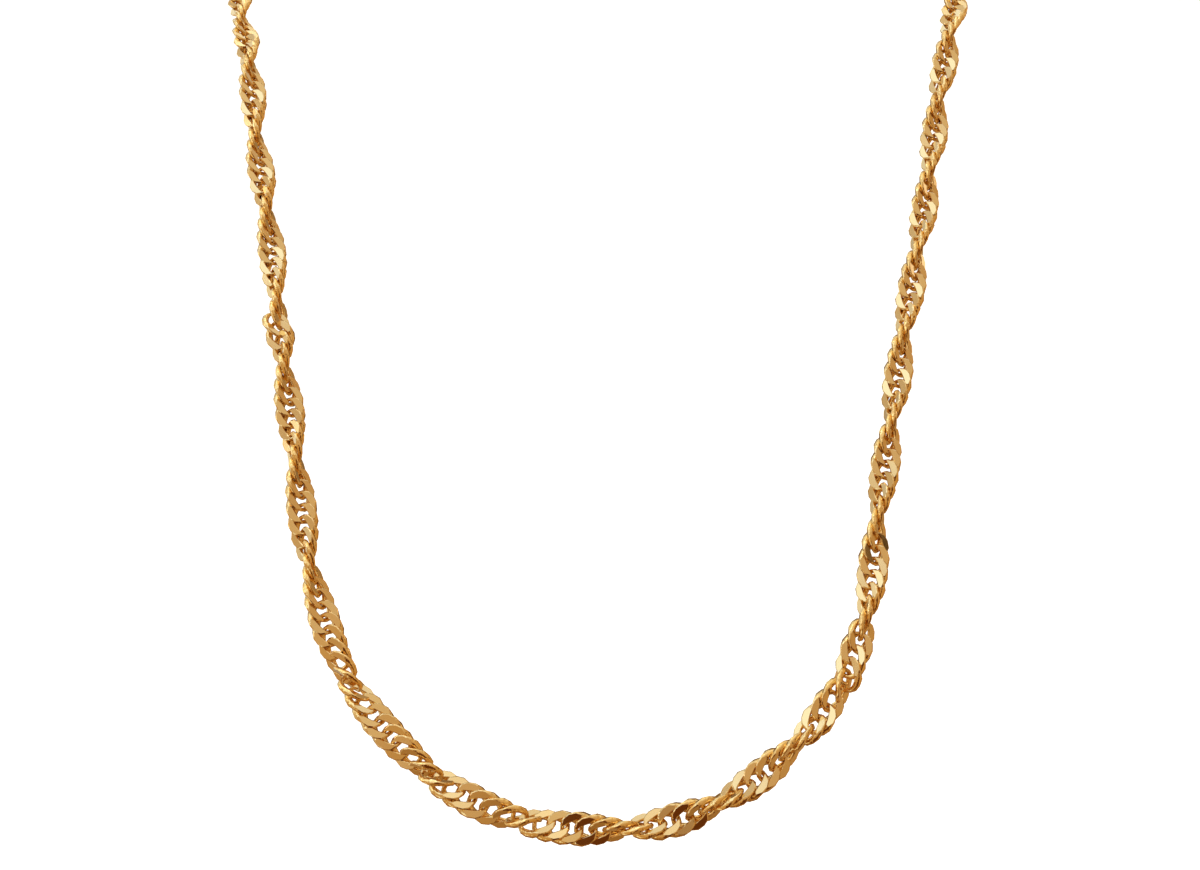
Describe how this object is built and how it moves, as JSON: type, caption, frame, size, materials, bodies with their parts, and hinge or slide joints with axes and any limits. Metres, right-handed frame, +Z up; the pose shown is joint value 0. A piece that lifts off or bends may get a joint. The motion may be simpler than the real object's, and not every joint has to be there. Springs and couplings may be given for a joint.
{
  "type": "twisted chain necklace",
  "caption": "Gold twisted curb chain necklace: flat cut links in a turning ribbon, a long U on the chest, closed by a plain round clasp at the nape.",
  "frame": {"origin": "middle of the neck, level with the sides of the loop, which is where the necklace is worn", "axes": "+X to the viewer's right, +Y from the chest to the nape, +Z up"},
  "size_m": [0.1024, 0.1023, 0.1383],
  "materials": {
    "gold_chain": "polished, gold plated, with bright cut faces",
    "gold_clasp": "polished, gold plated"
  },
  "bodies": {
    "root": {"chain": "gold_chain", "clasp": "gold_clasp"}
  },
  "joints": []
}
